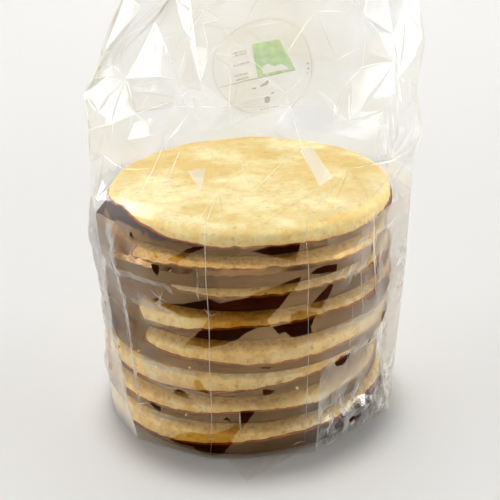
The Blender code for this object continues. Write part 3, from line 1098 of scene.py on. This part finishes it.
class Nodes:
    """A short way to write the nodes of a material or of the world."""

    def __init__(self, owner, output="ShaderNodeOutputMaterial"):
        self.owner = owner
        owner.use_nodes = True
        self.tree = owner.node_tree
        self.tree.nodes.clear()
        self.output = self.tree.nodes.new(output)
        self.coordinates = self.add("ShaderNodeTexCoord").outputs

    def add(self, kind, inputs=None, **settings):
        node = self.tree.nodes.new(kind)
        for key, value in settings.items():
            setattr(node, key, value)
        for key, value in (inputs or {}).items():
            if hasattr(value, "is_output"):
                self.tree.links.new(value, node.inputs[key])
            else:
                node.inputs[key].default_value = value
        return node

    def noise(self, scale, detail, roughness):
        inputs = {"Scale": scale, "Detail": detail, "Roughness": roughness}
        inputs["Vector"] = self.coordinates["Object"]
        return self.add("ShaderNodeTexNoise", inputs).outputs["Fac"]

    def field(self, name):
        return self.add("ShaderNodeAttribute", attribute_name=name).outputs["Fac"]

    def ramp(self, value, *stops):
        node = self.add("ShaderNodeValToRGB", {"Fac": value})
        ramp = node.color_ramp
        while len(ramp.elements) < len(stops):
            ramp.elements.new(0.5)
        for element, (position, colour) in zip(ramp.elements, stops):
            element.position = position
            element.color = (*colour, 1.0)
        return node.outputs["Color"]

    def range(self, value, low, high, to_low, to_high, **settings):
        inputs = {"From Min": low, "From Max": high, "To Min": to_low, "To Max": to_high}
        inputs["Value"] = value
        return self.add("ShaderNodeMapRange", inputs, **settings).outputs["Result"]

    def math(self, operation, a, b=0.0):
        return self.add("ShaderNodeMath", {0: a, 1: b}, operation=operation).outputs["Value"]

    def mix(self, share, a, b, blend="MIX"):
        inputs = {0: share, 6: a, 7: b}
        return self.add("ShaderNodeMix", inputs, data_type="RGBA", blend_type=blend).outputs[2]

    def bump(self, height, strength, distance):
        inputs = {"Height": height, "Strength": strength, "Distance": distance}
        return self.add("ShaderNodeBump", inputs).outputs["Normal"]

    def shader(self, kind, **inputs):
        spaced = {key.replace("_", " "): value for key, value in inputs.items()}
        return self.add("ShaderNodeBsdf" + kind, spaced).outputs[0]

    def blend(self, share, a, b):
        return self.add("ShaderNodeMixShader", {0: share, 1: a, 2: b}).outputs[0]

    def finish(self, shader):
        self.tree.links.new(shader, self.output.inputs["Surface"])
        return self.owner


def shortbread_material(uppermost):
    """Baked dough, painted dark brown towards its upper edge as painted shade; the uppermost instead
    has a golden baked rim and is painted paler towards its front as painted light.
    """
    n = Nodes(bpy.data.materials.new("shortbread_top" if uppermost else "shortbread"))
    broad = n.noise(55.0, 3.0, 0.5)
    middle = n.noise(260.0, 4.0, 0.65)
    fine = n.noise(900.0, 5.0, 0.65)
    spots = n.noise(480.0, 2.0, 0.5)
    light, golden_share, speckle, depth = TOP_DOUGH if uppermost else SIDE_DOUGH
    # Painted light: the uppermost's top is made paler towards its front, where the film's haze lies
    # over it, and a little darker at its back.
    if uppermost:
        along = n.add("ShaderNodeSeparateXYZ", {0: n.coordinates["Object"]}).outputs[1]
        broad = n.math("ADD", broad, n.range(along, -0.042, 0.006, 0.12, -0.03))
    pale = n.ramp(
        broad,
        (0.40, (0.90 * light, 0.66 * light, 0.25 * light)),
        (0.50, (0.95 * light, 0.78 * light, 0.37 * light)),
        (0.60, (0.93, 0.83, 0.49)),
    )
    golden = n.ramp(middle, (0.34, (0.68, 0.38, 0.08)), (0.62, (0.92, 0.64, 0.22)))
    colour = n.mix(n.range(middle, 0.42, 0.58, golden_share, 0.0), pale, golden)
    # The edge field: on the uppermost a golden baked rim, on the others painted shade in dark brown
    # towards the upper edge.
    uneven_bake_and_shade = n.math("ADD", n.field("edge"), n.range(middle, 0.35, 0.65, 0.12, -0.12))
    if uppermost:
        baked = n.range(uneven_bake_and_shade, 0.1, 1.0, 0.0, 0.75)
        rim = n.ramp(middle, (0.34, (0.96, 0.62, 0.15)), (0.62, (0.99, 0.80, 0.31)))
    else:
        baked = n.range(uneven_bake_and_shade, 0.25, 1.0, 0.0, 0.9)
        rim = n.ramp(fine, (0.34, (0.36, 0.16, 0.03)), (0.66, (0.76, 0.48, 0.14)))
    colour = n.mix(baked, colour, rim)
    colour = n.mix(n.range(fine, 0.58, 0.70, 0.0, speckle), colour, (0.50, 0.25, 0.06, 1.0))
    colour = n.mix(n.range(spots, 0.63, 0.74, 0.0, speckle), colour, (0.44, 0.21, 0.05, 1.0))
    relief = n.math("ADD", n.math("MULTIPLY", fine, 0.6), middle)
    return n.finish(
        n.shader(
            "Principled",
            Base_Color=colour,
            Roughness=n.range(fine, 0.3, 0.7, 0.75, 0.95),
            Normal=n.bump(relief, depth, 0.0006),
            Specular_IOR_Level=0.25,
        )
    )


def chocolate_material():
    """Dark chocolate that is thin and reddish brown at its edge."""
    n = Nodes(bpy.data.materials.new("chocolate"))
    broad = n.noise(120.0, 3.0, 0.5)
    fine = n.noise(700.0, 4.0, 0.6)
    dark = n.ramp(broad, (0.3, (0.016, 0.0018, 0.0008)), (0.7, (0.046, 0.006, 0.002)))
    thin = n.ramp(fine, (0.3, (0.30, 0.060, 0.010)), (0.7, (0.52, 0.15, 0.024)))
    thinness = n.math("MULTIPLY", n.field("lip"), n.range(broad, 0.3, 0.6, 0.55, 1.0))
    relief = n.math("ADD", n.math("MULTIPLY", fine, 0.35), broad)
    return n.finish(
        n.shader(
            "Principled",
            Base_Color=n.mix(thinness, dark, thin),
            Roughness=n.range(broad, 0.3, 0.7, 0.42, 0.60),
            Normal=n.bump(relief, 0.30, 0.0008),
            Specular_IOR_Level=0.03,
        )
    )


def film_material(name, mirror, haze, **looks):
    """Clear film: most light goes through, a share is mirrored, more at a slant, and haze glows."""
    looks = {**FILM_LOOKS, **looks}
    n = Nodes(bpy.data.materials.new(name))
    broad = n.noise(40.0, 2.0, 0.5)
    fine = n.noise(260.0, 3.0, 0.6)
    cells = {"Vector": n.coordinates["Object"], "Scale": 62.0}
    facets = n.add("ShaderNodeTexVoronoi", cells, distance="MANHATTAN").outputs["Color"]
    lightness = n.add("ShaderNodeSeparateColor", {"Color": facets}).outputs[0]
    facet_share = n.range(lightness, 0.0, 1.0, 0.82, 1.18)
    uneven = n.math("MULTIPLY", facet_share, n.range(broad, 0.3, 0.7, 0.85, 1.15))
    facing = n.add("ShaderNodeLayerWeight", {"Blend": 0.5}).outputs["Facing"]
    slant = n.math("MULTIPLY", n.math("POWER", facing, SLANT_POWER), looks["slanted"])
    shadow_ray = n.add("ShaderNodeLightPath").outputs["Is Shadow Ray"]
    kept = n.range(shadow_ray, 0.0, 1.0, 1.0, SHADOW_SHARE)
    loose = n.field("loose")
    mirrored = n.math("MULTIPLY", uneven, n.range(loose, 0.0, 1.0, mirror, 0.6 * mirror))
    share = n.math("MULTIPLY", n.math("ADD", mirrored, slant), kept)
    # What shows through the film: the look's tint, which on the painted-shade patches darkens and
    # browns it, with a faint cream cast in places.
    cast = n.mix(n.range(broad, 0.42, 0.60, 0.0, 1.0), looks["tint"], CREAM_TINT, "MULTIPLY")
    normal = n.bump(n.math("ADD", n.math("MULTIPLY", fine, 0.2), broad), 0.12, 0.002)
    # Loose or slanted film mirrors in a neutral colour; elsewhere it takes the look's gloss colour,
    # which on the stack is a painted warm tint.
    neutral = n.math("MAXIMUM", loose, n.range(slant, 0.0, 0.25, 0.0, 1.0))
    colour = n.mix(neutral, looks["gloss_colour"], FILM_GLOSS)
    gloss = n.shader("Glossy", Color=colour, Roughness=looks["roughness"], Normal=normal)
    seen = n.blend(share, n.shader("Transparent", Color=cast), gloss)
    lit = n.shader("Diffuse", Color=FILM_HAZE)
    glow = n.shader("Translucent", Color=FILM_HAZE)
    hazy = n.range(facing, 0.30, 0.75, haze, haze + looks["edge_haze"])
    return n.finish(n.blend(n.math("MULTIPLY", kept, hazy), seen, n.blend(0.6, lit, glow)))


def film_materials():
    """The film's four looks, in the order of their slots: clear, painted shade, painted highlight,
    and on the stack with a painted warm tint in its mirroring.
    """
    return [
        film_material("film_clear", mirror=0.07, haze=0.012, slanted=0.60),
        # Painted shade: film that mirrors almost nothing and tints what is behind it darker.
        film_material("film_painted_shade", mirror=0.002, haze=0.0, tint=PAINTED_SHADE_TINT, slanted=0.1),
        # Painted highlights: outlined film with a whitish haze and strong mirroring.
        film_material(
            "film_painted_highlight", mirror=0.30, haze=0.55, gloss_colour=PAINTED_HIGHLIGHT_GLOSS, roughness=0.30
        ),
        # The film on the stack mirrors more, in a painted warm tint, and grows hazier at a slant.
        film_material(
            "film_on_stack",
            mirror=0.19,
            haze=0.012,
            gloss_colour=PAINTED_WARM_GLOSS,
            roughness=0.20,
            edge_haze=0.80,
        ),
    ]


def ink_material(name, colour, cover):
    """Print on clear film: its colour covers part of what is behind it."""
    n = Nodes(bpy.data.materials.new(name))
    worn = n.noise(420.0, 3.0, 0.6)
    pale = tuple(min(1.0, c * 1.35) for c in colour)
    shade = n.ramp(worn, (0.35, colour), (0.65, pale))
    printed = n.blend(0.5, n.shader("Diffuse", Color=shade), n.shader("Translucent", Color=shade))
    share = n.range(worn, 0.3, 0.7, 0.8 * cover, 1.1 * cover)
    return n.finish(n.blend(share, n.shader("Transparent"), printed))


# ------------------------------------------------------------------ the sticker at the back

def sticker_point(right, up, lift):
    """A place on the sticker, as seen from the front through the bag, lifted off its film."""
    centre_u, centre_v = film.at(*STICKER_PLACE)
    return film.lifted((centre_u - right) % film.width, centre_v + up, lift)


def sticker_shape(name, outline, lift, material, holes=()):
    """A flat shape on the sticker, from its outline in (right, up)."""
    points = [Vector(p) for p in outline]
    edges = [(i, (i + 1) % len(outline)) for i in range(len(outline))]
    for hole in holes:
        first = len(points)
        points += [Vector(p) for p in hole]
        edges += [(first + i, first + (i + 1) % len(hole)) for i in range(len(hole))]
    border = list(points)
    low = [min(p[k] for p in outline) for k in (0, 1)]
    high = [max(p[k] for p in outline) for k in (0, 1)]

    def inked(place):
        return holds(outline, *place) and not any(holds(hole, *place) for hole in holes)

    for i in range(int((high[0] - low[0]) / STICKER_STEP) + 1):
        for j in range(int((high[1] - low[1]) / STICKER_STEP) + 1):
            place = Vector((low[0] + STICKER_STEP * (i + 0.5), low[1] + STICKER_STEP * (j + 0.5)))
            if inked(place) and min((place - p).length for p in border) > 0.5:
                points.append(place)
    found = delaunay_2d_cdt(points, edges, [], 0, 1e-4, True)
    verts = [sticker_point(place.x, place.y, lift) for place in found[0]]
    faces = []
    for face in found[2]:
        if inked(sum((found[0][i] for i in face), Vector((0.0, 0.0))) / 3.0):
            faces.append(tuple(face))
    mesh = mesh_of(name, verts, faces)
    mesh.shade_smooth()
    return add_object(name, mesh, [material])


def round_outline(centre, radius, count, squash=1.0, turn=0.0):
    """A circle of points, or an ellipse that is squashed and then turned."""
    outline = []
    for i in range(count):
        angle = math.tau * i / count
        place = Vector((radius * math.cos(angle), radius * squash * math.sin(angle)))
        outline.append(turned(place, turn) + Vector(centre))
    return outline


def turned(place, angle):
    """A flat place turned about the origin."""
    c, s = math.cos(angle), math.sin(angle)
    return Vector((place[0] * c - place[1] * s, place[0] * s + place[1] * c))


def bar_outline(centre, length, height):
    """A bar that rises with the sticker's turn."""
    half = Vector((length / 2, height / 2))
    corners = [(-half.x, -half.y), (half.x, -half.y), (half.x, half.y), (-half.x, half.y)]
    return [turned(corner, STICKER_TURN) + Vector(centre) for corner in corners]


def make_sticker():
    """The round, clear sticker with its generic print: a green field, bars, spots and dots."""
    clear = film_material("sticker_clear", mirror=0.015, haze=0.01)
    ink = ink_material("sticker_ink", (0.20, 0.15, 0.10), 0.55)
    faint = ink_material("sticker_faint_ink", (0.50, 0.44, 0.34), 0.40)
    trace = ink_material("sticker_trace_ink", (0.76, 0.70, 0.58), 0.18)
    green = ink_material("sticker_green", (0.30, 0.62, 0.14), 0.62)
    edge = round_outline((0, 0), STICKER_RADIUS + 0.6, 72)
    ring = round_outline((0, 0), STICKER_RADIUS, 96)
    ring_hole = round_outline((0, 0), STICKER_RADIUS - RING_WIDTH, 96)
    pieces = [
        sticker_shape("sticker", edge, STICKER_LIFT, clear),
        sticker_shape("sticker_ring", ring, PRINT_LIFT, trace, [ring_hole]),
        sticker_shape("sticker_field", FIELD_OUTLINE, PRINT_LIFT, green, [FIELD_GAP]),
    ]
    for index, (centre, length, height) in enumerate(STICKER_BARS):
        name = f"sticker_bar_{index + 1}"
        pieces.append(sticker_shape(name, bar_outline(centre, length, height), PRINT_LIFT, faint))
    for index, (centre, radius, squash, turn) in enumerate(STICKER_SPOTS):
        outline = round_outline(centre, radius, 14, squash, turn)
        pieces.append(sticker_shape(f"sticker_spot_{index + 1}", outline, PRINT_LIFT, ink))
    return pieces


# ------------------------------------------------------------------ crumbs

def make_crumbs(material):
    """Loose crumbs between the film and the coats."""
    shape = bmesh.new()
    for index, (azimuth, z, size) in enumerate(CRUMBS):
        u, v = film.at_azimuth(azimuth, z)
        place = film.lifted(u, v, -0.25)
        made = bmesh.ops.create_icosphere(shape, subdivisions=2, radius=size)["verts"]
        for vert in made:
            rough = 1.0 + 0.35 * wave(vert.co.x * 1.7, vert.co.y * 1.7, vert.co.z * 1.7, index)
            vert.co = to_frame(place + vert.co * rough)
    mesh = bpy.data.meshes.new("crumbs")
    shape.to_mesh(mesh)
    shape.free()
    return add_object("crumbs", mesh, [material])


# ------------------------------------------------------------------ stage, light and camera

def make_stage():
    n = Nodes(bpy.data.materials.new("stage_floor"))
    tone = n.ramp(n.noise(2.0, 2.0, 0.5), (0.3, (0.680, 0.674, 0.662)), (0.7, (0.697, 0.691, 0.679)))
    shader = n.shader("Principled", Base_Color=tone, Roughness=0.7)
    shape = bmesh.new()
    bmesh.ops.create_circle(shape, cap_ends=True, segments=96, radius=FLOOR_RADIUS)
    mesh = bpy.data.meshes.new("floor")
    shape.to_mesh(mesh)
    shape.free()
    floor = add_object("floor", mesh, [n.finish(shader)])
    floor.location.z = FLOOR_Z


def make_world():
    """A dim room, darkest in front, with pale low sides, a faint low front and a soft box above."""
    world = bpy.data.worlds.new("studio")
    n = Nodes(world, "ShaderNodeOutputWorld")

    def between(value, low, high, to_low, to_high):
        return n.range(value, low, high, to_low, to_high, interpolation_type="SMOOTHSTEP")

    way = n.coordinates["Generated"]
    across, along, up = n.add("ShaderNodeSeparateXYZ", {0: way}).outputs
    box_way = Vector(SOFT_BOX_WAY).normalized()
    toward_box = n.add("ShaderNodeVectorMath", {0: way, 1: box_way}, operation="DOT_PRODUCT")
    box = between(toward_box.outputs["Value"], *SOFT_BOX_EDGE, 0.0, SOFT_BOX_STRENGTH)
    room = between(along, -0.8, 0.3, *ROOM_STRENGTH)
    beside = between(n.math("ABSOLUTE", across), 0.60, 0.95, 0.0, SIDE_STRENGTH)
    not_in_front = between(along, -0.60, -0.05, 0.0, 1.0)
    ahead = between(along, -0.75, -0.95, 0.0, FRONT_STRENGTH)
    around = n.math("ADD", n.math("MULTIPLY", beside, not_in_front), ahead)
    low = n.math("MULTIPLY", around, between(up, 0.20, 0.50, 1.0, 0.0))
    total = n.math("ADD", n.math("ADD", room, low), box)
    light = {"Color": WORLD_COLOUR, "Strength": total}
    n.finish(n.add("ShaderNodeBackground", light).outputs[0])
    bpy.context.scene.world = world


def make_lights():
    """A soft light over the floor behind the bag, which evens out the floor's brightness."""
    data = bpy.data.lights.new("over_the_floor", "AREA")
    data.shape = "SQUARE"
    data.size = FLOOR_LIGHT_SIDE
    data.energy = FLOOR_LIGHT_WATTS
    data.color = FLOOR_LIGHT_COLOUR
    light = bpy.data.objects.new("over_the_floor", data)
    light.location = FLOOR_LIGHT_PLACE
    bpy.context.scene.collection.objects.link(light)


def make_camera():
    data = bpy.data.cameras.new("camera")
    data.lens = CAMERA_LENS
    data.sensor_width = CAMERA_SENSOR
    data.clip_start = 0.01
    camera = bpy.data.objects.new("camera", data)
    ahead = CAMERA_UP.cross(CAMERA_RIGHT)
    turn = Matrix((CAMERA_RIGHT, CAMERA_UP, -ahead)).transposed()
    camera.matrix_world = Matrix.Translation(to_frame(CAMERA_PLACE)) @ turn.to_4x4()
    bpy.context.scene.collection.objects.link(camera)
    bpy.context.scene.camera = camera


# ------------------------------------------------------------------ putting it together

def build():
    pieces = []
    wall = add_object("film", film_mesh(), film_materials())
    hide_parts("bag")
    pieces.append(wall)
    # Whitish fold lines: whitened film, partly painted highlight.
    white = film_material("film_fold", mirror=0.1, haze=0.5)
    pieces.append(add_object("film_folds", folds_mesh(), [white]))
    flat = film_material("film_flap", mirror=0.10, haze=0.05)
    pieces.append(add_object("film_flap", flap_mesh(), [flat]))
    pieces += make_sticker()
    top_baked = shortbread_material(True)
    baked = shortbread_material(False)
    dark = chocolate_material()
    for level in range(len(BISCUITS)):
        uppermost = level == len(BISCUITS) - 1
        pieces.append(shortbread(level, top_baked if uppermost else baked))
        pieces.append(chocolate(level, dark))
    pieces.append(make_crumbs(baked))
    for piece in pieces:
        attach(piece, "root")


make_camera()
make_world()
make_lights()
make_stage()
build()

scene = bpy.context.scene
scene.view_settings.view_transform = "Standard"
scene.cycles.transparent_max_bounces = 40
